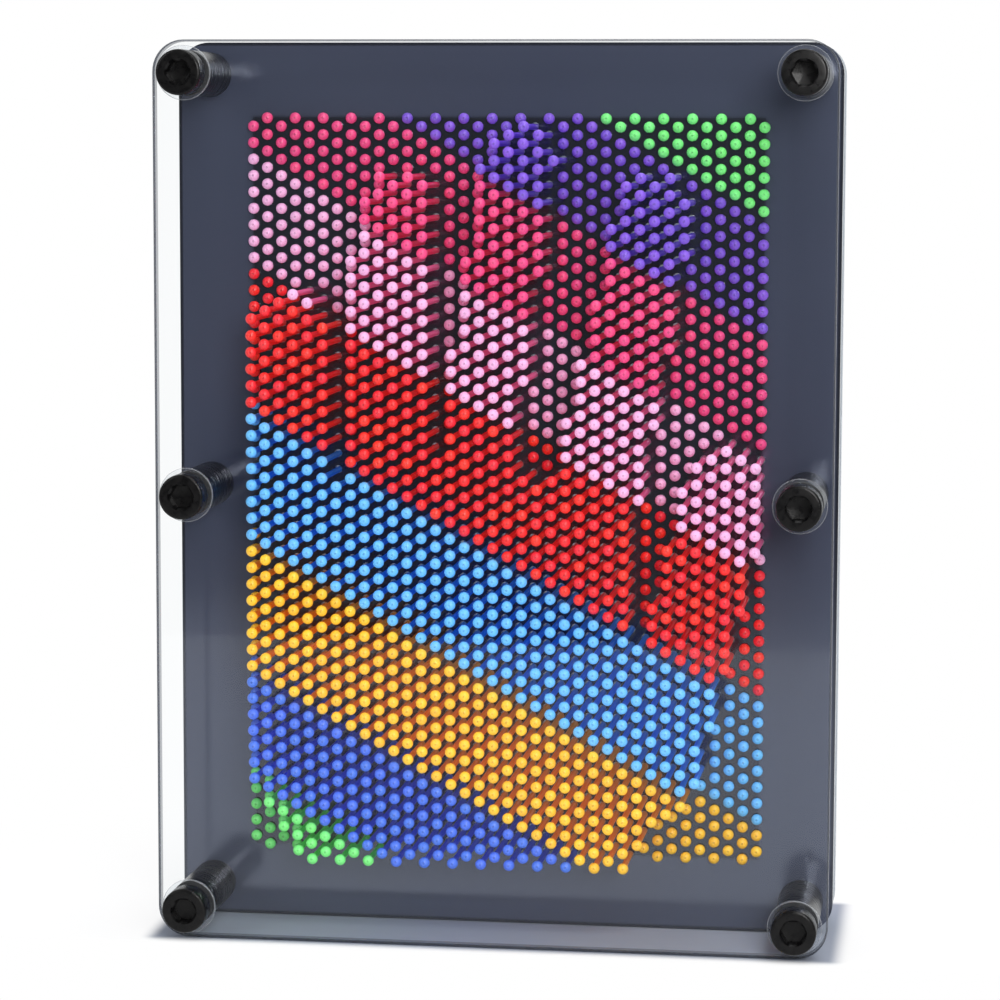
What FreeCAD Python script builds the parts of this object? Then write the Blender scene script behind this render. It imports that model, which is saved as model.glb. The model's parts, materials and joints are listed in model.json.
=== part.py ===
import FreeCAD, Part
import os, math
from FreeCAD import Vector, Placement, Rotation

# Pin impression toy: a field of sliding plastic pins carried by two
# perforated plates behind a clear cover.
# Frame: +Z up, front toward -Y, origin at the centre of the bounding box's
# bottom face, so the plates stand on Z = 0.

doc = FreeCAD.newDocument("pin_impression_toy")

# ---------------------------------------------------------------- dimensions
sheet = doc.addObject("Spreadsheet::Sheet", "Dimensions")
sheet.Label = "Dimensions"
rows = [
    ("plate_width", 150.0), ("plate_height", 200.0), ("plate_corner", 7.0),
    ("cover_thickness", 3.0), ("front_gap", 22.0),
    ("guide_thickness", 3.0), ("rear_gap", 8.0), ("rear_thickness", 3.0),
    ("edge_break", 0.4),
    ("screw_inset", 7.2), ("screw_hole", 6.4),
    ("screw_shank", 5.9), ("screw_length", 50.0),
    ("screw_head_width", 10.0), ("screw_head_height", 5.0),
    ("hex_socket", 5.0), ("hex_depth", 3.2), ("head_break", 0.6),
    ("washer_width", 12.0), ("washer_thickness", 1.0),
    ("sleeve_width", 10.0), ("sleeve_bore", 6.4),
    ("nut_across_flats", 10.0), ("nut_height", 5.0), ("nut_bore", 6.1),
    ("pin_pitch", 3.70), ("pin_columns", 37.0), ("pins_in_long_column", 46.0),
    ("pin_hole", 1.8), ("pin_shaft", 1.3), ("pin_shaft_length", 36.0),
    ("pin_head_width", 2.5), ("pin_head_rim", 0.6), ("pin_head_dome", 0.8),
    ("pin_seat_clearance", 0.25), ("pin_sag", 0.12), ("pin_travel", 20.0),
    ("bbox_front", -33.375),
]
for n, (alias, value) in enumerate(rows, start=1):
    sheet.set("A%d" % n, alias)
    sheet.set("B%d" % n, str(value))
    sheet.setAlias("B%d" % n, alias)
doc.recompute()


def dim(alias):
    return float(sheet.get(alias))


# Depth stations along Y, all from the sheet: the screw heads are the
# foremost surface and the pin tails the rearmost one.
HEAD_Y = dim("bbox_front")
WASHER_Y = HEAD_Y + dim("screw_head_height")
COVER_Y = WASHER_Y + dim("washer_thickness")
COVER_BACK = COVER_Y + dim("cover_thickness")
GUIDE_Y = COVER_BACK + dim("front_gap")
GUIDE_BACK = GUIDE_Y + dim("guide_thickness")
REAR_Y = GUIDE_BACK + dim("rear_gap")
REAR_BACK = REAR_Y + dim("rear_thickness")

EXPR_HEAD = "Dimensions.bbox_front"
EXPR_WASHER = EXPR_HEAD + " + Dimensions.screw_head_height"
EXPR_COVER = EXPR_WASHER + " + Dimensions.washer_thickness"
EXPR_COVER_BACK = EXPR_COVER + " + Dimensions.cover_thickness"
EXPR_GUIDE = EXPR_COVER_BACK + " + Dimensions.front_gap"
EXPR_GUIDE_BACK = EXPR_GUIDE + " + Dimensions.guide_thickness"
EXPR_REAR = EXPR_GUIDE_BACK + " + Dimensions.rear_gap"
EXPR_REAR_BACK = EXPR_REAR + " + Dimensions.rear_thickness"

# Six through bolts: four corners and the middle of each long side.
STATIONS = [
    ("left_top", -1, 1), ("left_middle", -1, 0), ("left_bottom", -1, -1),
    ("right_top", 1, 1), ("right_middle", 1, 0), ("right_bottom", 1, -1),
]


def station_expr(sx, sz):
    ex = "%d * (Dimensions.plate_width / 2 - Dimensions.screw_inset)" % sx
    ez = ("Dimensions.plate_height / 2 + %d * (Dimensions.plate_height / 2"
          " - Dimensions.screw_inset)" % sz)
    return ex, ez


def station_xz(sx, sz):
    return (sx * (dim("plate_width") / 2 - dim("screw_inset")),
            dim("plate_height") / 2
            + sz * (dim("plate_height") / 2 - dim("screw_inset")))


# Local +Z of every turned piece points along global +Y (front to rear).
FACE_REAR = Rotation(Vector(1, 0, 0), -90)


def place(obj, sx, sz, y_expr):
    obj.Placement = Placement(Vector(0, 0, 0), FACE_REAR)
    ex, ez = station_expr(sx, sz)
    obj.setExpression("Placement.Base.x", ex)
    obj.setExpression("Placement.Base.z", ez)
    obj.setExpression("Placement.Base.y", y_expr)


def cylinder(name, sx, sz, radius_expr, length_expr, y_expr):
    c = doc.addObject("Part::Cylinder", name)
    c.setExpression("Radius", radius_expr)
    c.setExpression("Height", length_expr)
    place(c, sx, sz, y_expr)
    return c


def cut(name, base, tool):
    c = doc.addObject("Part::Cut", name)
    c.Base = base
    c.Tool = tool
    return c


nodes = []


def group(label, members):
    g = doc.addObject("Part::Compound", label)
    g.Label = label
    g.Links = members
    nodes.append(g)
    return g


# ------------------------------------------------------------ spacer sleeves
def sleeves(label, length_expr, y_expr):
    members = []
    for name, sx, sz in STATIONS:
        outer = cylinder(label + "_outer_" + name, sx, sz,
                         "Dimensions.sleeve_width / 2", length_expr, y_expr)
        bore = cylinder(label + "_bore_" + name, sx, sz,
                        "Dimensions.sleeve_bore / 2", length_expr, y_expr)
        members.append(cut(label + "_" + name, outer, bore))
    return group(label, members)


sleeves("front_spacer_sleeves", "Dimensions.front_gap", EXPR_COVER_BACK)
sleeves("back_spacer_sleeves", "Dimensions.rear_gap", EXPR_GUIDE_BACK)


# -------------------------------------------------------------------- washers
def washers(label, y_expr):
    members = []
    for name, sx, sz in STATIONS:
        outer = cylinder(label + "_outer_" + name, sx, sz,
                         "Dimensions.washer_width / 2",
                         "Dimensions.washer_thickness", y_expr)
        bore = cylinder(label + "_bore_" + name, sx, sz,
                        "Dimensions.screw_hole / 2",
                        "Dimensions.washer_thickness", y_expr)
        members.append(cut(label + "_" + name, outer, bore))
    return group(label, members)


washers("front_washers", EXPR_WASHER)
washers("back_washers", EXPR_REAR_BACK)

# ----------------------------------------------- socket head screws, six alike
screws = []
for name, sx, sz in STATIONS:
    head = cylinder("screw_head_" + name, sx, sz,
                    "Dimensions.screw_head_width / 2",
                    "Dimensions.screw_head_height", EXPR_HEAD)
    shank = cylinder("screw_shank_" + name, sx, sz,
                     "Dimensions.screw_shank / 2",
                     "Dimensions.screw_length + Dimensions.screw_head_height",
                     EXPR_HEAD)
    blank = doc.addObject("Part::Fuse", "screw_blank_" + name)
    blank.Base = head
    blank.Tool = shank
    socket = doc.addObject("Part::Prism", "screw_socket_" + name)
    socket.Polygon = 6
    socket.setExpression("Circumradius",
                         "Dimensions.hex_socket / 2 / cos(30 deg)")
    socket.setExpression("Height", "Dimensions.hex_depth + 1")
    place(socket, sx, sz, EXPR_HEAD + " - 1")
    # a 45 degree cone ring takes the sharp edge off the head
    ring = doc.addObject("Part::Cylinder", "screw_ring_" + name)
    ring.setExpression("Radius", "Dimensions.screw_head_width / 2 + 1")
    ring.setExpression("Height", "Dimensions.head_break")
    place(ring, sx, sz, EXPR_HEAD)
    cone = doc.addObject("Part::Cone", "screw_cone_" + name)
    cone.setExpression("Radius1",
                       "Dimensions.screw_head_width / 2 - Dimensions.head_break")
    cone.setExpression("Radius2", "Dimensions.screw_head_width / 2")
    cone.setExpression("Height", "Dimensions.head_break")
    place(cone, sx, sz, EXPR_HEAD)
    bevel = cut("screw_bevel_" + name, ring, cone)
    turned = cut("screw_turned_" + name, blank, bevel)
    screws.append(cut("cap_screw_" + name, turned, socket))
group("cap_screws", screws)

# ------------------------------------------------------------------- hex nuts
nuts = []
for name, sx, sz in STATIONS:
    hexa = doc.addObject("Part::Prism", "nut_blank_" + name)
    hexa.Polygon = 6
    hexa.setExpression("Circumradius",
                       "Dimensions.nut_across_flats / 2 / cos(30 deg)")
    hexa.setExpression("Height", "Dimensions.nut_height")
    place(hexa, sx, sz, EXPR_REAR_BACK + " + Dimensions.washer_thickness")
    bore = cylinder("nut_bore_" + name, sx, sz, "Dimensions.nut_bore / 2",
                    "Dimensions.nut_height",
                    EXPR_REAR_BACK + " + Dimensions.washer_thickness")
    nuts.append(cut("hex_nut_" + name, hexa, bore))
group("hex_nuts", nuts)

# ---------------------------------------------------------------- clear cover
# A sheet with rounded corners, edges broken, and six clearance holes.
body = doc.addObject("PartDesign::Body", "CoverBody")
body.Label = "clear_front_cover"
sk = body.newObject("Sketcher::SketchObject", "CoverOutline")
origin_plane = [f for f in body.Origin.OriginFeatures if f.Role == "XZ_Plane"][0]
sk.AttachmentSupport = [(origin_plane, "")]
sk.MapMode = "FlatFace"


def rounded_outline(sketch, w, h, r):
    """Closed rounded rectangle from (-w/2, 0) to (w/2, h)."""
    import Sketcher
    x = w / 2.0
    pts = [(-x + r, 0), (x - r, 0), (x, r), (x, h - r), (x - r, h),
           (-x + r, h), (-x, h - r), (-x, r)]
    cor = [((x - r, r), -90, 0), ((x - r, h - r), 0, 90),
           ((-x + r, h - r), 90, 180), ((-x + r, r), 180, 270)]
    ids = []
    for k in range(4):
        a, b = pts[2 * k], pts[2 * k + 1]
        ids.append(sketch.addGeometry(
            Part.LineSegment(Vector(a[0], a[1], 0), Vector(b[0], b[1], 0)), False))
        (cx, cy), a0, a1 = cor[k]
        ids.append(sketch.addGeometry(
            Part.ArcOfCircle(Part.Circle(Vector(cx, cy, 0), Vector(0, 0, 1), r),
                             math.radians(a0), math.radians(a1)), False))
    # lines and arcs meet tangentially all the way round
    for k in range(4):
        line, arc, nxt = ids[2 * k], ids[2 * k + 1], ids[(2 * k + 2) % 8]
        sketch.addConstraint(Sketcher.Constraint("Tangent", line, 2, arc, 1))
        sketch.addConstraint(Sketcher.Constraint("Tangent", arc, 2, nxt, 1))
    sketch.addConstraint(Sketcher.Constraint("Horizontal", ids[0]))
    sketch.addConstraint(Sketcher.Constraint("Vertical", ids[2]))
    sketch.addConstraint(Sketcher.Constraint("Horizontal", ids[4]))
    sketch.addConstraint(Sketcher.Constraint("Vertical", ids[6]))
    for arc in (ids[3], ids[5], ids[7]):
        sketch.addConstraint(Sketcher.Constraint("Equal", ids[1], arc))
    c = sketch.addConstraint(Sketcher.Constraint("Radius", ids[1], r))
    sketch.renameConstraint(c, "corner")
    sketch.setExpression("Constraints.corner", "Dimensions.plate_corner")
    # width between the two vertical sides, height between the level ones
    c = sketch.addConstraint(Sketcher.Constraint("DistanceX", ids[6], 1, ids[2], 1, w))
    sketch.renameConstraint(c, "width")
    sketch.setExpression("Constraints.width", "Dimensions.plate_width")
    c = sketch.addConstraint(Sketcher.Constraint("DistanceY", ids[0], 1, ids[4], 1, h))
    sketch.renameConstraint(c, "height")
    sketch.setExpression("Constraints.height", "Dimensions.plate_height")
    # bottom edge on Z = 0, outline centred on X = 0
    sketch.addConstraint(Sketcher.Constraint("PointOnObject", ids[0], 1, -1))
    c = sketch.addConstraint(Sketcher.Constraint("DistanceX", -1, 1, ids[2], 1, w / 2))
    sketch.renameConstraint(c, "half")
    sketch.setExpression("Constraints.half", "Dimensions.plate_width / 2")


rounded_outline(sk, dim("plate_width"), dim("plate_height"), dim("plate_corner"))
pad = body.newObject("PartDesign::Pad", "CoverPad")
pad.Profile = sk
pad.setExpression("Length", "Dimensions.cover_thickness")
doc.recompute()
if pad.Shape.BoundBox.YMax > 0.01:
    pad.Reversed = False
else:
    pad.Reversed = True
doc.recompute()
hs = body.newObject("Sketcher::SketchObject", "CoverHoles")
hs.AttachmentSupport = [(origin_plane, "")]
hs.MapMode = "FlatFace"
import Sketcher
for name, sx, sz in STATIONS:
    x, z = station_xz(sx, sz)
    g = hs.addGeometry(Part.Circle(Vector(x, z, 0), Vector(0, 0, 1),
                                   dim("screw_hole") / 2), False)
    c = hs.addConstraint(Sketcher.Constraint("Diameter", g, dim("screw_hole")))
    hs.renameConstraint(c, "bore_" + name)
    hs.setExpression("Constraints.bore_" + name, "Dimensions.screw_hole")
    c = hs.addConstraint(Sketcher.Constraint("DistanceX", -1, 1, g, 3, x))
    hs.renameConstraint(c, "x_" + name)
    hs.setExpression("Constraints.x_" + name, station_expr(sx, sz)[0])
    c = hs.addConstraint(Sketcher.Constraint("DistanceY", -1, 1, g, 3, z))
    hs.renameConstraint(c, "z_" + name)
    hs.setExpression("Constraints.z_" + name, station_expr(sx, sz)[1])
doc.recompute()
pocket = body.newObject("PartDesign::Pocket", "CoverBores")
pocket.Profile = hs
pocket.Type = "ThroughAll"
pocket.Midplane = True
doc.recompute()
full = (dim("plate_width") * dim("plate_height")
        - (4 - math.pi) * dim("plate_corner") ** 2) * dim("cover_thickness")
bores = 6 * math.pi * dim("screw_hole") ** 2 / 4 * dim("cover_thickness")
assert abs(pocket.Shape.Volume - (full - bores)) < 1.0, pocket.Shape.Volume
# break the long edges of both faces
edges = []
for n, e in enumerate(pocket.Shape.Edges, start=1):
    bb = e.BoundBox
    if bb.YLength < 1e-6:
        if e.Curve.TypeId == "Part::GeomLine" or (
                e.Curve.TypeId == "Part::GeomCircle"
                and abs(e.Curve.Radius - dim("plate_corner")) < 1e-6):
            edges.append("Edge%d" % n)
cham = body.newObject("PartDesign::Chamfer", "CoverEdgeBreak")
cham.Base = (pocket, edges)
cham.setExpression("Size", "Dimensions.edge_break")
body.Tip = cham
body.setExpression("Placement.Base.y",
                   EXPR_COVER if pad.Shape.BoundBox.YMax > 0.01
                   else EXPR_COVER_BACK)
doc.recompute()
nodes.append(body)

# ------------------------------------------------------------------ pin field
PITCH = dim("pin_pitch")
COLS = int(dim("pin_columns"))
LONG = int(dim("pins_in_long_column"))
HALF_ROWS = 2 * LONG - 2            # half-pitch rows from top to bottom
COL_STEP = PITCH * math.sqrt(3) / 2
MID_Z = dim("plate_height") / 2


def pin_sites():
    """Hexagonal lattice, columns upright: (column, half row, x, z)."""
    out = []
    for i in range(COLS):
        for v in range(HALF_ROWS + 1):
            if (i + v) % 2 == 1:
                out.append((i, v, (i - (COLS - 1) / 2.0) * COL_STEP,
                            MID_Z + (HALF_ROWS / 2.0 - v) * PITCH / 2.0))
    return out


# Colour bands run along the lattice diagonal that falls to the right.
BANDS = [
    (-12, "green_upper"), (-5, "violet"), (2, "magenta"), (9, "light_pink"),
    (17, "red"), (25, "sky_blue"), (33, "yellow"), (40, "royal_blue"),
    (99, "green_lower"),
]


def band_of(i, v):
    d = (v - i) / 2.0
    for limit, name in BANDS:
        if d < limit:
            return name


# The impression is an open hand pressed in from behind. Fingers and thumb
# are tapered capsules (x, z, radius at the tip, then at the root), the palm
# a convex outline, all in plate coordinates.
FINGERS = [
    ("little_finger", -45.3, 139.3, 6.9, -45.0, 96.0, 8.6),
    ("little_finger", -49.0, 136.0, 6.6, -48.6, 96.0, 7.4),
    ("ring_finger", -21.3, 163.8, 8.0, -24.0, 150.0, 8.6),
    ("ring_finger", -24.0, 150.0, 8.6, -25.0, 96.0, 9.3),
    ("middle_finger", 5.0, 175.0, 8.0, -5.5, 100.0, 8.9),
    ("index_finger", 35.0, 162.6, 8.6, 21.5, 96.0, 10.2),
    ("thumb", 51.0, 102.6, 9.7, 41.6, 62.0, 10.0),
]
PALM = [
    (-56.0, 103.5), (-10.0, 104.0), (29.0, 104.5), (30.0, 67.0), (51.5, 66.0),
    (48.5, 50.0), (46.5, 36.0), (35.0, 25.0), (29.0, 15.0),
    (-44.0, 15.0), (-56.0, 34.0),
]


def capsule_depth(x, z, c):
    """Distance inside a tapered capsule, over its local radius (1 = axis)."""
    name, x1, z1, r1, x2, z2, r2 = c
    dx, dz = x2 - x1, z2 - z1
    t = ((x - x1) * dx + (z - z1) * dz) / (dx * dx + dz * dz)
    t = max(0.0, min(1.0, t))
    r = r1 + (r2 - r1) * t
    d = math.hypot(x - x1 - t * dx, z - z1 - t * dz)
    return (r - d) / r


def palm_depth(x, z):
    """Signed distance to the palm outline, positive inside."""
    inside = False
    best = 1e9
    n = len(PALM)
    for k in range(n):
        ax, az = PALM[k]
        bx, bz = PALM[(k + 1) % n]
        if (az > z) != (bz > z):
            if x < ax + (z - az) * (bx - ax) / (bz - az):
                inside = not inside
        dx, dz = bx - ax, bz - az
        t = max(0.0, min(1.0, ((x - ax) * dx + (z - az) * dz)
                         / (dx * dx + dz * dz)))
        best = min(best, math.hypot(x - ax - t * dx, z - az - t * dz))
    return best if inside else -best


def ripple(i, v):
    """Small fixed unevenness from pin to pin, -1 to 1."""
    return math.sin(i * 12.9898 + v * 4.1414) * math.cos(i * 3.7 - v * 7.3)


def impression(i, v, x, z):
    """(zone, height in mm above the seated position)."""
    zone, height = "flat", 0.0
    best = 0.0
    for c in FINGERS:
        d = capsule_depth(x, z, c)
        if d > best:
            best = d
            zone = c[0]
            height = 19.4 - 1.8 * (1.0 - d) ** 3
    pd = palm_depth(x, z)
    if pd > 0:
        fall = max(0.0, 62.0 - z) / 47.0
        ph = 19.2 - 4.2 * fall ** 1.3 - 1.4 * math.exp(-pd / 2.5)
        if zone == "flat" or z < 100.0:
            zone = "palm"
            height = max(ph, height if z > 88.0 else 0.0)
    if zone != "flat":
        height = min(19.5, height + 0.22 * ripple(i, v))
    return zone, height


# ------------------------------------------------- perforated guide plates
def perforated_profile():
    """Face in the XZ plane: rounded plate, pin holes and screw holes."""
    w, h, r = dim("plate_width"), dim("plate_height"), dim("plate_corner")
    x = w / 2.0
    up = Vector(0, 1, 0)

    def arc(cx, cz, a0, a1):
        am = math.radians((a0 + a1) / 2.0)
        a0, a1 = math.radians(a0), math.radians(a1)
        return Part.Arc(Vector(cx + r * math.cos(a0), 0, cz + r * math.sin(a0)),
                        Vector(cx + r * math.cos(am), 0, cz + r * math.sin(am)),
                        Vector(cx + r * math.cos(a1), 0, cz + r * math.sin(a1))
                        ).toShape()

    def seg(x0, z0, x1, z1):
        return Part.LineSegment(Vector(x0, 0, z0), Vector(x1, 0, z1)).toShape()

    outer = Part.Wire([
        seg(-x + r, 0, x - r, 0), arc(x - r, r, -90, 0),
        seg(x, r, x, h - r), arc(x - r, h - r, 0, 90),
        seg(x - r, h, -x + r, h), arc(-x + r, h - r, 90, 180),
        seg(-x, h - r, -x, r), arc(-x + r, r, 180, 270)])
    wires = [outer]
    for i, v, px, pz in pin_sites():
        wires.append(Part.Wire([Part.Circle(Vector(px, 0, pz), up,
                                            dim("pin_hole") / 2).toShape()]))
    for name, sx, sz in STATIONS:
        px, pz = station_xz(sx, sz)
        wires.append(Part.Wire([Part.Circle(Vector(px, 0, pz), up,
                                            dim("screw_hole") / 2).toShape()]))
    face = Part.Face(wires)
    clear = w * h - (4 - math.pi) * r * r
    holes = (len(pin_sites()) * dim("pin_hole") ** 2
             + len(STATIONS) * dim("screw_hole") ** 2) * math.pi / 4
    assert abs(face.Area - (clear - holes)) < 0.5, face.Area
    profile = doc.addObject("Part::Feature", "perforated_profile")
    profile.Shape = face
    return profile


def perforated(label, profile, thickness_alias, y_expr):
    plate = doc.addObject("Part::Extrusion", label)
    plate.Label = label
    plate.Base = profile
    plate.DirMode = "Custom"
    plate.Dir = Vector(0, 1, 0)
    plate.setExpression("LengthFwd", "Dimensions." + thickness_alias)
    plate.Solid = True
    plate.setExpression("Placement.Base.y", y_expr)
    nodes.append(plate)
    return plate


hole_pattern = perforated_profile()
perforated("front_guide_plate", hole_pattern, "guide_thickness", EXPR_GUIDE)
perforated("back_guide_plate", hole_pattern, "rear_thickness", EXPR_REAR)

# ------------------------------------------------------------------ the pins
# One pin, turned about its axis: a long shaft, a flat-backed head and a low
# dome. Its head's flat back is at the local origin and the dome faces -Y.
pin_body = doc.addObject("PartDesign::Body", "PinMaster")
pin_body.Label = "pin_master"
ps = pin_body.newObject("Sketcher::SketchObject", "PinSection")
xy = [f for f in pin_body.Origin.OriginFeatures if f.Role == "XY_Plane"][0]
ps.AttachmentSupport = [(xy, "")]
ps.MapMode = "FlatFace"
rs, rh = dim("pin_shaft") / 2, dim("pin_head_width") / 2
rim, dome, length = dim("pin_head_rim"), dim("pin_head_dome"), dim("pin_shaft_length")
big = (rh * rh + dome * dome) / (2 * dome)
top = -(rim + dome)
pts = [(0, length), (rs, length), (rs, 0), (rh, 0), (rh, -rim)]
ids = []
for a, b in zip(pts[:-1], pts[1:]):
    ids.append(ps.addGeometry(Part.LineSegment(Vector(a[0], a[1], 0),
                                               Vector(b[0], b[1], 0)), False))
mid_a = math.asin(rh / big) / 2
arc_id = ps.addGeometry(Part.Arc(
    Vector(rh, -rim, 0),
    Vector(big * math.sin(mid_a), top + big - big * math.cos(mid_a), 0),
    Vector(0, top, 0)), False)
axis_id = ps.addGeometry(Part.LineSegment(Vector(0, top, 0),
                                          Vector(0, length, 0)), False)
doc.recompute()
rev = pin_body.newObject("PartDesign::Revolution", "PinTurned")
rev.Profile = ps
rev.ReferenceAxis = (ps, ["V_Axis"])
rev.Angle = 360
doc.recompute()
expect = (math.pi * rs * rs * length + math.pi * rh * rh * rim
          + math.pi * dome * (3 * rh * rh + dome * dome) / 6)
assert abs(rev.Shape.Volume - expect) < 0.01 * expect, (rev.Shape.Volume, expect)
pin_solid = rev.Shape.Solids[0]

SEAT_Y = GUIDE_Y - dim("pin_seat_clearance")
sets = {}
for i, v, x, z in pin_sites():
    zone, height = impression(i, v, x, z)
    sets.setdefault((zone, band_of(i, v)), []).append((i, v, x, z, height))

# A colour that crosses a finger in a handful of pins joins the same colour in
# the palm, or the next finger along, so that every set is worth a slider.
ZONES = ["little_finger", "ring_finger", "middle_finger", "index_finger",
         "thumb", "palm"]
for (zone, colour) in sorted(sets):
    if zone in ("flat", "palm") or len(sets[(zone, colour)]) >= 6:
        continue
    for other in ["palm"] + ZONES:
        if other != zone and len(sets.get((other, colour), [])) >= 6:
            sets[(other, colour)] += sets.pop((zone, colour))
            break

total = 0
for (zone, colour) in sorted(sets):
    members = sets[(zone, colour)]
    label = "pins_%s_%s" % (zone, colour)
    pieces = []
    for i, v, x, z, height in members:
        p = pin_solid.copy()
        p.Placement = Placement(Vector(x, SEAT_Y - height, z - dim("pin_sag")),
                                Rotation())
        pieces.append(p)
    f = doc.addObject("Part::Feature", label)
    f.Label = label
    f.Shape = Part.makeCompound(pieces)
    f.Placement = Placement()
    nodes.append(f)
    total += len(members)
    hs_ = [m[4] for m in members]
    print("%-36s %4d pins  raised %.2f to %.2f" % (label, len(members),
                                                  min(hs_), max(hs_)))
print("pins in all:", total, " sites:", len(pin_sites()))
print("depth stations", HEAD_Y, COVER_Y, COVER_BACK, GUIDE_Y, GUIDE_BACK,
      REAR_Y, REAR_BACK, "tails", SEAT_Y + length)

# -------------------------------------------------------------- check, export
doc.recompute()
for obj in doc.Objects:
    bad = [s for s in obj.State if s in ("Invalid", "Error")]
    if bad:
        raise RuntimeError("%s: %s" % (obj.Name, bad))
for obj in nodes:
    if obj.Shape.isNull() or not obj.Shape.isValid():
        raise RuntimeError("bad shape in " + obj.Label)
    if not obj.Shape.Solids:
        raise RuntimeError("no solid in " + obj.Label)
os.makedirs("parts", exist_ok=True)
for old in os.listdir("parts"):
    if old.endswith(".step"):
        os.remove(os.path.join("parts", old))
for obj in nodes:
    obj.Shape.exportStep("parts/%s.step" % obj.Label)
print("nodes written:", len(nodes))
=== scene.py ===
import json
import math

import bmesh
import bpy
import numpy as np
from mathutils import Matrix, Vector

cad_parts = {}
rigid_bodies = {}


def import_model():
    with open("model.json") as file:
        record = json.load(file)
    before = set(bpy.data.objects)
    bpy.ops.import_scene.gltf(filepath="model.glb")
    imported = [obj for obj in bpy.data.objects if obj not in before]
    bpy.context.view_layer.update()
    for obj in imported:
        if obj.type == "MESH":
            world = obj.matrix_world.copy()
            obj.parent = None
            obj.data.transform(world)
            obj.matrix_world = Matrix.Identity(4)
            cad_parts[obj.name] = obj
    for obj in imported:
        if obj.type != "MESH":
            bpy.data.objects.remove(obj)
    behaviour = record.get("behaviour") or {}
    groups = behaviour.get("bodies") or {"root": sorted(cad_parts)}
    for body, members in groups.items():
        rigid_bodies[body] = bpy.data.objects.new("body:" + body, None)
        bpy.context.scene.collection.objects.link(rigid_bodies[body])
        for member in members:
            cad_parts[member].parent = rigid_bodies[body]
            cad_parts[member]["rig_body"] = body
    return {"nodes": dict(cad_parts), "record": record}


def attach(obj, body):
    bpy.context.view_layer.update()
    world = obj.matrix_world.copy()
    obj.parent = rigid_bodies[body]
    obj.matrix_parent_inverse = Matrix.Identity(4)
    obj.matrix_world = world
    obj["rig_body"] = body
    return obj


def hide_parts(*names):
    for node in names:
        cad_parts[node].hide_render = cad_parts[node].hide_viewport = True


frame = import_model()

scene = bpy.context.scene
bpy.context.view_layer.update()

# --------------------------------------------------------------- small helpers


def linear(rgb):
    """sRGB 0-255 to scene linear."""
    out = []
    for c in rgb:
        c = c / 255.0
        out.append(c / 12.92 if c <= 0.04045 else ((c + 0.055) / 1.055) ** 2.4)
    return out


class Tree:
    """A material's node tree with short calls."""

    def __init__(self, name):
        self.material = bpy.data.materials.new(name)
        self.material.use_nodes = True
        self.nt = self.material.node_tree
        self.nt.nodes.clear()
        self.out = self.nt.nodes.new("ShaderNodeOutputMaterial")

    def node(self, kind, **inputs):
        n = self.nt.nodes.new(kind)
        for key, value in inputs.items():
            self.feed(n, key, value)
        return n

    def feed(self, n, key, value):
        socket = n.inputs[int(key[1:])] if key[0] == "i" and key[1:].isdigit() else n.inputs[key.replace("_", " ")]
        if isinstance(value, bpy.types.NodeSocket):
            self.nt.links.new(value, socket)
        elif socket.type == "RGBA" and len(value) == 3:
            socket.default_value = (*value, 1.0)
        else:
            socket.default_value = value

    def math(self, op, a, b=0.0, clamp=False):
        n = self.node("ShaderNodeMath", i0=a, i1=b)
        n.operation = op
        n.use_clamp = clamp
        return n.outputs[0]

    def span(self, value, a, b, c=0.0, d=1.0, smooth=True):
        n = self.node("ShaderNodeMapRange")
        n.interpolation_type = "SMOOTHSTEP" if smooth else "LINEAR"
        self.feed(n, "Value", value)
        self.feed(n, "From_Min", a)
        self.feed(n, "From_Max", b)
        self.feed(n, "To_Min", c)
        self.feed(n, "To_Max", d)
        return n.outputs["Result"]

    def colour(self, fac, a, b):
        n = self.node("ShaderNodeMix")
        n.data_type = "RGBA"
        self.feed(n, "i0", fac)
        self.feed(n, "i6", a if isinstance(a, bpy.types.NodeSocket) else (*a, 1.0))
        self.feed(n, "i7", b if isinstance(b, bpy.types.NodeSocket) else (*b, 1.0))
        return n.outputs[2]

    def mix(self, fac, a, b):
        return self.node("ShaderNodeMixShader", i0=fac, i1=a, i2=b).outputs[0]

    def attribute(self, name):
        n = self.node("ShaderNodeAttribute")
        n.attribute_name = name
        return n.outputs["Fac"]

    def principled(self, **inputs):
        return self.node("ShaderNodeBsdfPrincipled", **inputs).outputs[0]

    def noise(self, scale, detail=3.0, stretch=(1.0, 1.0, 1.0)):
        """Noise in the piece's own space; scale is in features per metre."""
        where = self.node("ShaderNodeTexCoord").outputs["Object"]
        turn = self.node("ShaderNodeMapping", Vector=where, Scale=stretch)
        return self.node("ShaderNodeTexNoise", Vector=turn.outputs[0], Scale=scale, Detail=detail).outputs[0]

    def bump(self, height, strength, distance):
        return self.node("ShaderNodeBump", Height=height, Strength=strength, Distance=distance).outputs[0]

    def done(self, surface):
        self.nt.links.new(surface, self.out.inputs["Surface"])
        return self.material


def schlick(t, f0):
    """Mirror share of a polished clear surface, the same from both sides."""
    facing = t.node("ShaderNodeLayerWeight", Blend=0.5).outputs["Facing"]
    return t.math("ADD", t.math("MULTIPLY", t.math("POWER", facing, 5.0), 1.0 - f0), f0)


# ------------------------------------------------------------------- materials

PINS = {
    # slot: (head, shaft), sRGB; each shaft colour is a deeper, more saturated painted shade of the head's plastic,
    # standing in for light bounced between the crowded pins
    "pin_green": ((122, 238, 128), (70, 225, 80)),
    "pin_violet": ((126, 86, 208), (100, 54, 214)),
    "pin_magenta": ((236, 76, 134), (236, 36, 98)),
    "pin_light_pink": ((242, 180, 224), (245, 104, 166)),
    "pin_red": ((240, 44, 48), (250, 36, 34)),
    "pin_sky_blue": ((108, 190, 250), (20, 128, 240)),
    "pin_yellow": ((254, 198, 52), (252, 150, 16)),
    "pin_royal_blue": ((74, 116, 228), (34, 72, 226)),
}


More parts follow.
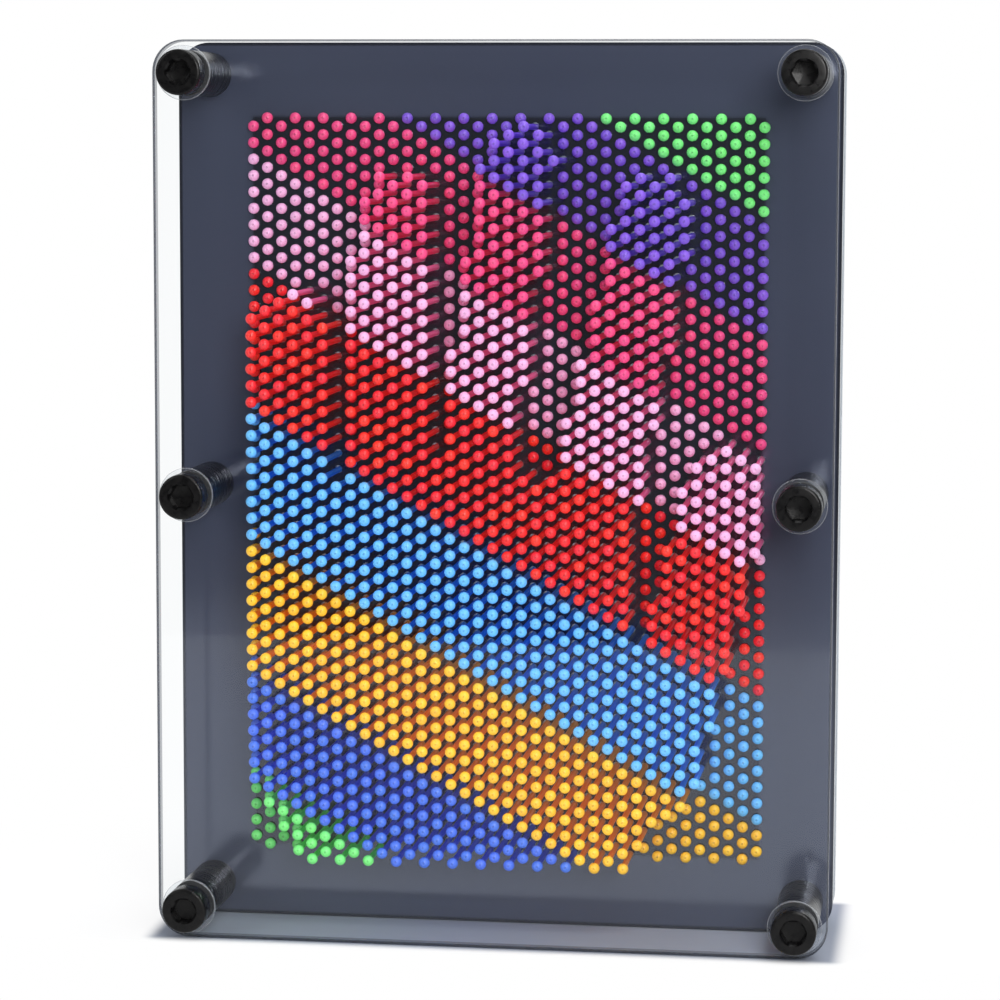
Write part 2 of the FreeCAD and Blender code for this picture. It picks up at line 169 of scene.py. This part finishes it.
def pin_material(slot):
    head, shaft = PINS[slot]
    t = Tree("M_" + slot)
    # painted shade: the shaft faces take the deeper shaft colour of the same plastic
    base = t.colour(t.attribute("shaft_mask"), linear(head), linear(shaft))
    # painted shade: the gate dimple in the head is made 0.30 darker
    gate = t.math("MULTIPLY", t.attribute("gate_mask"), 0.30)
    # painted shade: pins left flat are 0.86 bright against 0.96 for raised ones, plus a small random tone
    painted_shade_and_random_value = t.math("SUBTRACT", t.math("ADD", t.attribute("pin_painted_shade"), t.math("MULTIPLY", t.attribute("pin_random"), 0.09)), gate)
    hsv = t.node("ShaderNodeHueSaturation", Color=base)
    t.feed(hsv, "Hue", t.math("ADD", 0.496, t.math("MULTIPLY", t.attribute("pin_random"), 0.008)))
    t.feed(hsv, "Value", painted_shade_and_random_value)
    # painted glow: the shafts emit a little of their own colour, standing in for light scattered inside the plastic,
    # so the crowded shafts don't go black
    shaft_painted_glow = t.math("MULTIPLY", t.attribute("shaft_mask"), 0.13)
    return t.done(t.principled(Base_Color=hsv.outputs[0], Roughness=0.36, IOR=1.46,
                               Emission_Color=linear(shaft), Emission_Strength=shaft_painted_glow))


def cover_material():
    t = Tree("M_clear_cover")
    clear = t.node("ShaderNodeBsdfTransparent", Color=(0.985, 0.992, 0.995)).outputs[0]
    # faint handling haze, and fine saw marks across the cut edges
    haze = t.span(t.noise(26.0, 4.0), 0.35, 0.75, 0.015, 0.06)
    gloss = t.node("ShaderNodeBsdfGlossy", Color=(1.0, 1.0, 1.0), Roughness=haze).outputs[0]
    face = t.mix(schlick(t, 0.012), clear, gloss)
    # painted shade: the sheet's cut edges are made a dark grey, partly opaque band standing in for the dark line a
    # clear edge shows
    edge_clear = t.node("ShaderNodeBsdfTransparent", Color=(0.26, 0.28, 0.32)).outputs[0]
    saw = t.span(t.noise(240.0, 3.0, (1.0, 6.0, 1.0)), 0.3, 0.7, 0.14, 0.26)
    edge_body = t.principled(Base_Color=(0.10, 0.11, 0.13), Roughness=saw)
    painted_edge_shade = t.mix(0.60, edge_clear, edge_body)
    normal = t.node("ShaderNodeNewGeometry").outputs["True Normal"]
    split = t.node("ShaderNodeSeparateXYZ", Vector=normal).outputs["Y"]
    painted_rim = t.span(t.math("ABSOLUTE", split), 0.85, 0.6)
    return t.done(t.mix(painted_rim, face, painted_edge_shade))


def slate_material():
    t = Tree("M_slate_panel")
    where = t.node("ShaderNodeTexCoord").outputs["Object"]
    noise = t.node("ShaderNodeTexNoise", Vector=where, Scale=35.0, Detail=3.0)
    rough = t.span(noise.outputs[0], 0.3, 0.7, 0.10, 0.15)
    # the land between the closely set holes lies in the pins' shade
    away = t.node("ShaderNodeVectorMath", i0=where, i1=(0.0, 0.0, 0.100))
    away.operation = "SUBTRACT"
    away = t.node("ShaderNodeVectorMath", i0=away.outputs[0])
    away.operation = "ABSOLUTE"
    away = t.node("ShaderNodeSeparateXYZ", Vector=away.outputs[0])
    field = t.math("MULTIPLY", t.span(away.outputs["X"], 0.0586, 0.0574), t.span(away.outputs["Z"], 0.0841, 0.0829))
    land_painted_shade = t.colour(t.math("MULTIPLY", field, 0.85), linear((56, 61, 77)), linear((12, 13, 18)))
    # painted shade: a thin dark line painted along the plate's outer border stands in for the shaded broken edge
    brink = t.math("MINIMUM", t.math("SUBTRACT", 0.075, away.outputs["X"]), t.math("SUBTRACT", 0.100, away.outputs["Z"]))
    land_painted_shade = t.colour(t.span(brink, 0.0009, 0.0005, 0.0, 0.85), land_painted_shade, linear((20, 22, 28)))
    return t.done(t.principled(Base_Color=land_painted_shade, Roughness=rough, IOR=1.78,
                               Specular_Tint=(0.78, 0.84, 1.0)))


def smoke_material():
    t = Tree("M_smoke_clear_panel")
    clear = t.node("ShaderNodeBsdfTransparent", Color=(0.72, 0.76, 0.80)).outputs[0]
    rough = t.span(t.noise(60.0, 4.0), 0.3, 0.7, 0.09, 0.20)
    body = t.principled(Base_Color=(0.50, 0.54, 0.58), Roughness=rough)
    return t.done(t.mix(0.45, clear, body))


def washer_material():
    t = Tree("M_clear_washer")
    clear = t.node("ShaderNodeBsdfTransparent", Color=(0.94, 0.95, 0.96)).outputs[0]
    rough = t.span(t.noise(900.0, 2.0), 0.3, 0.7, 0.10, 0.22)
    body = t.principled(Base_Color=(0.50, 0.52, 0.55), Roughness=rough)
    normal = t.node("ShaderNodeNewGeometry").outputs["True Normal"]
    split = t.node("ShaderNodeSeparateXYZ", Vector=normal).outputs["Y"]
    # painted highlight: the washer's side faces turn a more opaque light grey, standing in for the bright ring round
    # the clear edge
    painted_rim = t.span(t.math("ABSOLUTE", split), 0.95, 0.5, 0.04, 0.45)
    return t.done(t.mix(painted_rim, clear, body))


def screw_material():
    t = Tree("M_black_screw")
    # black oxide: slightly blotchy, faintly grained
    blotch = t.noise(700.0, 4.0)
    base = t.colour(t.span(blotch, 0.3, 0.7), (0.0022, 0.0022, 0.0026), (0.0050, 0.0048, 0.0050))
    rough = t.span(blotch, 0.3, 0.7, 0.25, 0.34)
    grain = t.bump(t.noise(5200.0, 2.0), 0.10, 0.00005)
    return t.done(t.principled(Base_Color=base, Roughness=rough, IOR=1.27, Normal=grain))


def sleeve_material():
    t = Tree("M_black_sleeve")
    # turned black plastic: fine rings round the tube
    rings = t.noise(900.0, 2.0, (0.15, 4.0, 0.15))
    base = t.colour(t.span(rings, 0.3, 0.7), (0.0035, 0.0035, 0.0042), (0.0070, 0.0070, 0.0078))
    rough = t.span(rings, 0.3, 0.7, 0.22, 0.33)
    return t.done(t.principled(Base_Color=base, Roughness=rough, IOR=1.36, Normal=t.bump(rings, 0.12, 0.00008)))


materials = {slot: pin_material(slot) for slot in PINS}
materials["clear_cover"] = cover_material()
materials["slate_panel"] = slate_material()
materials["smoke_clear_panel"] = smoke_material()
materials["clear_washer"] = washer_material()
materials["black_screw"] = screw_material()
materials["black_sleeve"] = sleeve_material()

slot_of = {s["node"]: s["material_slot"] for s in frame["record"]["subparts"]}

# ------------------------------------------------------------------------ pins
# One moulded pin, turned about its own axis: (radius, distance from the tip) in
# mm. A small gate dimple sits on a domed head with a straight rim, then a plain
# shaft with a slightly rounded tail.
DOME_R = 1.3766


def dome(r):
    return DOME_R - math.sqrt(DOME_R * DOME_R - r * r)


PROFILE = [
    (0.20, 0.12), (0.30, dome(0.30)), (0.56, dome(0.56)), (0.82, dome(0.82)),
    (1.03, dome(1.03)), (1.17, dome(1.17)), (1.25, 0.86), (1.25, 1.28),
    (1.18, 1.385), (1.10, 1.40), (0.77, 1.40), (0.65, 1.55), (0.65, 36.90),
    (0.55, 37.25), (0.35, 37.40),
]
SIDES = 16
COLUMN, HALF_ROW, MIDDLE_Z, CENTRE_COLUMN, TOP_HALF_ROW = 3.2043, 1.85, 99.88, 18, 45


def pin_template():
    ang = np.arange(SIDES) * 2 * math.pi / SIDES
    pts = [(0.0, 0.10, 0.0)]
    shaft, gate = [0.0], [1.0]
    for k, (r, s) in enumerate(PROFILE):
        for a in ang:
            pts.append((r * math.cos(a), s, r * math.sin(a)))
            shaft.append(1.0 if k >= 11 else (0.6 if k == 10 else 0.0))
            gate.append(1.0 if k == 0 else 0.0)
    pts.append((0.0, 37.40, 0.0))
    shaft.append(1.0)
    gate.append(0.0)
    last = len(pts) - 1
    faces = []
    rings = len(PROFILE)
    for j in range(SIDES):
        n = (j + 1) % SIDES
        faces.append((0, 1 + j, 1 + n))
        for k in range(rings - 1):
            a, b = 1 + k * SIDES, 1 + (k + 1) * SIDES
            faces.append((a + j, b + j, b + n, a + n))
        b = 1 + (rings - 1) * SIDES
        faces.append((b + j, last, b + n))
    return np.array(pts), faces, np.array(shaft), np.array(gate)


T_PTS, T_FACES, T_SHAFT, T_GATE = pin_template()


def pin_sites(node):
    """Centre x, z and foremost y in mm of each pin in a CAD node."""
    n = len(node.data.vertices)
    co = np.zeros(n * 3, np.float32)
    node.data.vertices.foreach_get("co", co)
    co = co.reshape(-1, 3).astype(float) * 1000.0
    i = np.rint(co[:, 0] / COLUMN + CENTRE_COLUMN).astype(int)
    parity = (i + 1) % 2
    raw = TOP_HALF_ROW - (co[:, 2] - MIDDLE_Z) / HALF_ROW
    v = (2 * np.rint((raw - parity) / 2) + parity).astype(int)
    keys, inverse = np.unique(i * 1000 + v, return_inverse=True)
    front = np.full(len(keys), 1e9)
    np.minimum.at(front, inverse, co[:, 1])
    ii, vv = keys // 1000, keys % 1000
    return (ii - CENTRE_COLUMN) * COLUMN, front, MIDDLE_Z + (TOP_HALF_ROW - vv) * HALF_ROW, ii, vv


def build_pins(name, node):
    x, y, z, ii, vv = pin_sites(node)
    count, nv = len(x), len(T_PTS)
    place = np.stack([x, y, z], 1)[:, None, :]
    verts = (T_PTS[None, :, :] + place) / 1000.0
    mesh = bpy.data.meshes.new("pinmesh_" + name)
    mesh.vertices.add(count * nv)
    mesh.vertices.foreach_set("co", verts.astype(np.float32).ravel())
    sizes_one = np.array([len(f) for f in T_FACES])
    loops_one = np.array([c for f in T_FACES for c in f])
    loops = (loops_one[None, :] + (np.arange(count) * nv)[:, None]).ravel()
    totals = np.tile(sizes_one, count)
    starts = np.concatenate([[0], np.cumsum(totals)[:-1]])
    mesh.loops.add(len(loops))
    mesh.loops.foreach_set("vertex_index", loops.astype(np.int32))
    mesh.polygons.add(len(totals))
    mesh.polygons.foreach_set("loop_start", starts.astype(np.int32))
    mesh.polygons.foreach_set("use_smooth", np.ones(len(totals), bool))
    mesh.update(calc_edges=True)
    mesh.validate()
    rnd = np.abs(np.sin(ii * 12.9898 + vv * 78.233) * 43758.5453) % 1.0
    # the third attribute is painted shade: flat pins 0.86, raised pins 0.96
    for key, values in (("shaft_mask", np.tile(T_SHAFT, count)),
                        ("gate_mask", np.tile(T_GATE, count)),
                        ("pin_painted_shade", np.full(count * nv, 0.86 if "_flat_" in name else 0.96)),
                        ("pin_random", np.repeat(rnd, nv))):
        a = mesh.attributes.new(key, "FLOAT", "POINT")
        a.data.foreach_set("value", values.astype(np.float32))
    mesh.set_sharp_from_angle(angle=math.radians(50))
    obj = bpy.data.objects.new(name, mesh)
    scene.collection.objects.link(obj)
    return obj


# ------------------------------------------------------- fasteners and spacers
# Turned and hexagonal pieces as stacks of rings round an axis along Y. A ring is
# a list of (radius, y) in mm, one entry for each of TURN directions.
TURN = 48
STATIONS = [(x, z) for x in (-67.8, 67.8) for z in (7.2, 100.0, 192.8)]


def round_ring(r, y):
    return [(r, y)] * TURN


def hex_radius(across, k):
    a = (k * 360.0 / TURN) % 60.0 - 30.0
    return across / 2.0 / math.cos(math.radians(a))


def hex_ring(across, y, foot=0.0, slope=0.0):
    """Six flats, corners on X; slope lets the ring drop off towards the corners."""
    out = []
    for k in range(TURN):
        r = hex_radius(across, k)
        out.append((r, y + slope * max(0.0, r - foot)))
    return out


def tube_rings(y0, y1, outer, bore, broken):
    b = broken
    return [round_ring(bore, y0 + b), round_ring(bore + b, y0), round_ring(outer - b, y0), round_ring(outer, y0 + b),
            round_ring(outer, y1 - b), round_ring(outer - b, y1), round_ring(bore + b, y1), round_ring(bore, y1 - b),
            round_ring(bore, y0 + b)]


def nut_rings(y0, y1):
    return [round_ring(3.05, y0 + 0.3), round_ring(3.35, y0), round_ring(4.92, y0), hex_ring(10.0, y0, 4.92, 0.5),
            hex_ring(10.0, y1, 4.92, -0.5), round_ring(4.92, y1), round_ring(3.35, y1), round_ring(3.05, y1 - 0.3),
            round_ring(3.05, y0 + 0.3)]


def screw_rings():
    rings = [round_ring(0.0, -29.95), round_ring(1.2, -30.0), hex_ring(4.9, -30.2), hex_ring(5.0, -32.95),
             round_ring(2.98, -33.375), round_ring(4.35, -33.375), round_ring(4.62, -33.34), round_ring(4.84, -33.22),
             round_ring(4.96, -33.02), round_ring(5.0, -32.75), round_ring(5.0, -28.60), round_ring(4.93, -28.45),
             round_ring(4.78, -28.375), round_ring(3.15, -28.375), round_ring(2.95, -28.20), round_ring(2.95, 2.0)]
    y = 2.0
    while y < 20.4:
        rings += [round_ring(2.95, y + 0.12), round_ring(2.58, y + 0.5), round_ring(2.58, y + 0.6),
                  round_ring(2.95, y + 0.98)]
        y += 1.0
    rings += [round_ring(2.95, 21.05), round_ring(2.42, 21.625), round_ring(0.0, 21.625)]
    return rings


def build_stack(name, rings):
    pts, faces = [], []
    for x, z in STATIONS:
        start = len(pts)
        for ring in rings:
            for k, (r, y) in enumerate(ring):
                a = k * 2.0 * math.pi / TURN
                pts.append(((x + r * math.cos(a)) / 1000.0, y / 1000.0, (z + r * math.sin(a)) / 1000.0))
        for j in range(len(rings) - 1):
            for k in range(TURN):
                n = (k + 1) % TURN
                a, b = start + j * TURN, start + (j + 1) * TURN
                faces.append((a + k, a + n, b + n, b + k))
    mesh = bpy.data.meshes.new("mesh_" + name)
    mesh.from_pydata(pts, [], faces)
    work = bmesh.new()
    work.from_mesh(mesh)
    bmesh.ops.remove_doubles(work, verts=work.verts, dist=2e-7)
    bmesh.ops.recalc_face_normals(work, faces=work.faces)
    work.to_mesh(mesh)
    work.free()
    mesh.polygons.foreach_set("use_smooth", [True] * len(mesh.polygons))
    mesh.set_sharp_from_angle(angle=math.radians(32))
    obj = bpy.data.objects.new(name, mesh)
    scene.collection.objects.link(obj)
    return obj


TURNED = {
    "cap_screws": screw_rings(),
    "front_washers": tube_rings(-28.375, -27.375, 6.0, 3.2, 0.12),
    "back_washers": tube_rings(11.625, 12.625, 6.0, 3.2, 0.12),
    "front_spacer_sleeves": tube_rings(-24.375, -2.375, 5.0, 3.2, 0.20),
    "back_spacer_sleeves": tube_rings(0.625, 8.625, 5.0, 3.2, 0.20),
    "hex_nuts": nut_rings(12.625, 17.625),
}


for name, node in sorted(frame["nodes"].items()):
    slot = slot_of[name]
    if name in TURNED:
        piece = build_stack("look_" + name, TURNED[name])
        piece.data.materials.append(materials[slot])
        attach(piece, node["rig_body"])
        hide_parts(name)
    elif name.startswith("pins_"):
        piece = build_pins("look_" + name, node)
        piece.data.materials.append(materials[slot])
        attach(piece, node["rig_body"])
        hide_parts(name)
    else:
        node.data.materials.clear()
        node.data.materials.append(materials[slot])

# ----------------------------------------------------------------------- stage
# A pale sheet that fades to the bright backdrop away from the toy.


def floor_material():
    t = Tree("M_floor")
    where = t.node("ShaderNodeNewGeometry").outputs["Position"]
    apart = t.node("ShaderNodeVectorMath", i0=where)
    apart.operation = "ABSOLUTE"
    apart = t.node("ShaderNodeVectorMath", i0=apart.outputs[0], i1=(0.075, 0.027, 1.0))
    apart.operation = "SUBTRACT"
    apart = t.node("ShaderNodeVectorMath", i0=apart.outputs[0], i1=(0.0, 0.0, 0.0))
    apart.operation = "MAXIMUM"
    far = t.node("ShaderNodeVectorMath", i0=apart.outputs[0])
    far.operation = "LENGTH"
    ahead = t.node("ShaderNodeSeparateXYZ", Vector=where)
    ahead = t.span(ahead.outputs["Y"], -0.0268, -0.0330)
    fade = t.math("ADD", t.span(far.outputs["Value"], 0.0, 0.005, 0.0, 0.82),
                  t.span(far.outputs["Value"], 0.004, 0.09, 0.0, 0.18), clamp=True)
    fade = t.math("MAXIMUM", fade, ahead)
    # painted shadow: the floor under the toy's footprint is a bluish grey, fading to the pale paper within 5 mm
    footprint_painted_shadow = t.span(far.outputs["Value"], 0.0, 0.005)
    paper_and_painted_shadow = t.colour(footprint_painted_shadow, (0.32, 0.35, 0.42), (0.88, 0.89, 0.90))
    paper = t.node("ShaderNodeBsdfDiffuse", Color=paper_and_painted_shadow).outputs[0]
    glow = t.node("ShaderNodeEmission", Color=(1.0, 1.0, 1.0), Strength=1.0).outputs[0]
    return t.done(t.mix(fade, paper, glow))


mesh = bpy.data.meshes.new("floor")
mesh.from_pydata([(-6, -0.518, 0), (6, -0.418, 0), (6, 12, 0), (-6, 12, 0)], [], [(0, 1, 2, 3)])
floor = bpy.data.objects.new("floor", mesh)
scene.collection.objects.link(floor)
floor.location = (0, 0, -0.0002)
mesh.materials.append(floor_material())

world = bpy.data.worlds.new("studio")
scene.world = world
world.use_nodes = True
wt = world.node_tree
wt.nodes.clear()
w_out = wt.nodes.new("ShaderNodeOutputWorld")
w_bg = wt.nodes.new("ShaderNodeBackground")
w_co = wt.nodes.new("ShaderNodeTexCoord")
w_sep = wt.nodes.new("ShaderNodeSeparateXYZ")
w_map = wt.nodes.new("ShaderNodeMapRange")
w_map.interpolation_type = "SMOOTHSTEP"
w_map.inputs["From Min"].default_value = -0.25
w_map.inputs["From Max"].default_value = 0.30
w_map.inputs["To Min"].default_value = 0.12
w_map.inputs["To Max"].default_value = 1.0
wt.links.new(w_co.outputs["Generated"], w_sep.inputs[0])
wt.links.new(w_sep.outputs["Y"], w_map.inputs["Value"])
# the dark side of the studio is for reflections only: it shows as plain white
w_seen = wt.nodes.new("ShaderNodeLightPath")
w_max = wt.nodes.new("ShaderNodeMath")
w_max.operation = "MAXIMUM"
wt.links.new(w_seen.outputs["Is Camera Ray"], w_max.inputs[0])
wt.links.new(w_map.outputs[0], w_max.inputs[1])
wt.links.new(w_max.outputs[0], w_bg.inputs["Strength"])
w_bg.inputs["Color"].default_value = (1.0, 1.0, 1.0, 1.0)
wt.links.new(w_bg.outputs[0], w_out.inputs["Surface"])


def area(name, place, aim, size, power, colour=(1, 1, 1)):
    light = bpy.data.lights.new(name, "AREA")
    light.shape = "RECTANGLE"
    light.size, light.size_y = size
    light.energy = power
    light.color = colour
    obj = bpy.data.objects.new(name, light)
    scene.collection.objects.link(obj)
    obj.location = place
    obj.rotation_mode = "QUATERNION"
    obj.rotation_quaternion = (Vector(aim) - Vector(place)).to_track_quat("-Z", "Y")
    obj.visible_camera = False
    return obj


area("key", (0.34, -0.95, 0.38), (0, 0, 0.10), (0.34, 0.34), 7.8, (1.0, 0.99, 0.98))
area("fill", (-0.75, -0.80, 0.60), (0, 0, 0.10), (0.50, 0.50), 3.0, (0.98, 0.99, 1.0))
area("top", (0.10, 0.05, 1.00), (0, 0, 0.10), (0.60, 0.50), 3.5)
area("crown", (0.35, -0.55, 0.95), (0, 0, 0.12), (0.45, 0.30), 3.5)

# ---------------------------------------------------------------------- camera
cam = bpy.data.objects.new("camera", bpy.data.cameras.new("camera"))
scene.collection.objects.link(cam)
cam.data.lens = 120.0565
cam.data.sensor_width = 36.0
cam.data.sensor_fit = "AUTO"
cam.data.clip_start, cam.data.clip_end = 0.02, 60.0
cam.matrix_world = Matrix((
    (0.98989591, -0.01866976, 0.14056144, 0.10484177),
    (0.14175773, 0.10729951, -0.98406888, -0.74509772),
    (0.00329016, 0.99405143, 0.10886193, 0.17951076),
    (0.0, 0.0, 0.0, 1.0),
))
scene.camera = cam

scene.view_settings.view_transform = "Standard"
scene.cycles.transparent_max_bounces = 16
scene.cycles.max_bounces = 8
